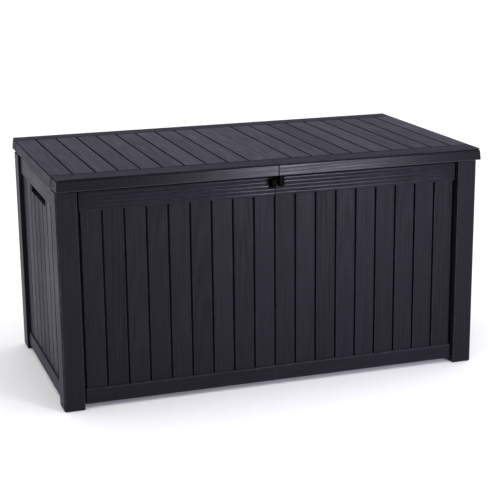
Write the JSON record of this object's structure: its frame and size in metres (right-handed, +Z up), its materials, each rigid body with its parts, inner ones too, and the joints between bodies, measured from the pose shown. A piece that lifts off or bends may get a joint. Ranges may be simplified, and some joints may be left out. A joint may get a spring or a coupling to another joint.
{
  "type": "deck storage box",
  "caption": "Outdoor storage box with plank-look walls on corner posts and a hinged two-part lid held up by gas struts, with padlock eyes at the front.",
  "frame": {"origin": "on the ground under the centre of the closed box", "axes": "+X to the right along the front, +Y to the back where the hinges are, +Z up"},
  "size_m": [1.48, 0.82, 0.78],
  "materials": {
    "graphite_resin": "semi-matte wood-grain graphite resin",
    "inner_resin": "plain matte graphite resin",
    "dark_resin": "moulded black resin",
    "zinc_steel": "zinc plated",
    "beam_steel": "galvanised tube",
    "rod_chrome": "polished rod",
    "black_paint": "black enamel"
  },
  "bodies": {
    "box_body": {"floor_left": "inner_resin", "floor_right": "inner_resin", "floor_joint_beam": "inner_resin", "front_panel_left": "graphite_resin", "front_panel_right": "graphite_resin", "back_panel_left": "graphite_resin", "back_panel_right": "graphite_resin", "side_panel_left": "graphite_resin", "side_panel_right": "graphite_resin", "corner_post_front_left": "graphite_resin", "corner_post_front_right": "graphite_resin", "corner_post_back_left": "graphite_resin", "corner_post_back_right": "graphite_resin", "front_joint_strip": "inner_resin", "back_joint_strip": "inner_resin", "body_lock_eye": "dark_resin", "hinge_body_leaf_1": "dark_resin", "hinge_body_leaf_2": "dark_resin", "hinge_body_leaf_3": "dark_resin", "hinge_body_leaf_4": "dark_resin", "hinge_pin_1": "zinc_steel", "hinge_pin_2": "zinc_steel", "hinge_pin_3": "zinc_steel", "hinge_pin_4": "zinc_steel", "hinge_screw_1a": "zinc_steel", "hinge_screw_1b": "zinc_steel", "hinge_screw_2a": "zinc_steel", "hinge_screw_2b": "zinc_steel", "hinge_screw_3a": "zinc_steel", "hinge_screw_3b": "zinc_steel", "hinge_screw_4a": "zinc_steel", "hinge_screw_4b": "zinc_steel", "strut_wall_bracket_left": "black_paint", "strut_wall_bracket_right": "black_paint"},
    "lid": {"lid_left": "graphite_resin", "lid_right": "graphite_resin", "lid_beam_front": "beam_steel", "lid_beam_back": "beam_steel", "lid_joint_strip": "inner_resin", "lid_lock_eye": "dark_resin", "hinge_lid_leaf_1": "dark_resin", "hinge_lid_leaf_2": "dark_resin", "hinge_lid_leaf_3": "dark_resin", "hinge_lid_leaf_4": "dark_resin", "strut_lid_bracket_left": "black_paint", "strut_lid_bracket_right": "black_paint"},
    "strut_tube_left": {"strut_tube_left": "black_paint"},
    "strut_rod_left": {"strut_rod_left": "rod_chrome"},
    "strut_tube_right": {"strut_tube_right": "black_paint"},
    "strut_rod_right": {"strut_rod_right": "rod_chrome"}
  },
  "joints": [
    {"name": "lid_hinge", "type": "hinge", "parent": "box_body", "child": "lid", "pos_m": [0, 0.392, 0.722], "axis": [-1, 0, 0], "range_deg": [0, 65]},
    {"name": "strut_pivot_left", "type": "hinge", "parent": "box_body", "child": "strut_tube_left", "pos_m": [-0.684, 0.314, 0.5284], "axis": [-1, 0, 0], "range_deg": [0, 33]},
    {"name": "strut_slide_left", "type": "slide", "parent": "strut_tube_left", "child": "strut_rod_left", "axis": [0, -0.515, 0.8572], "range_m": [0, 0.142]},
    {"name": "strut_pivot_right", "type": "hinge", "parent": "box_body", "child": "strut_tube_right", "pos_m": [0.684, 0.314, 0.5284], "axis": [-1, 0, 0], "range_deg": [0, 33]},
    {"name": "strut_slide_right", "type": "slide", "parent": "strut_tube_right", "child": "strut_rod_right", "axis": [0, -0.515, 0.8572], "range_m": [0, 0.142]}
  ],
  "couplings": [
    {"joint": "strut_pivot_left", "follows": "lid_hinge", "ratio": 0.4978},
    {"joint": "strut_slide_left", "follows": "lid_hinge", "m_per_rad": 0.1231},
    {"joint": "strut_pivot_right", "follows": "lid_hinge", "ratio": 0.4978},
    {"joint": "strut_slide_right", "follows": "lid_hinge", "m_per_rad": 0.1231}
  ]
}
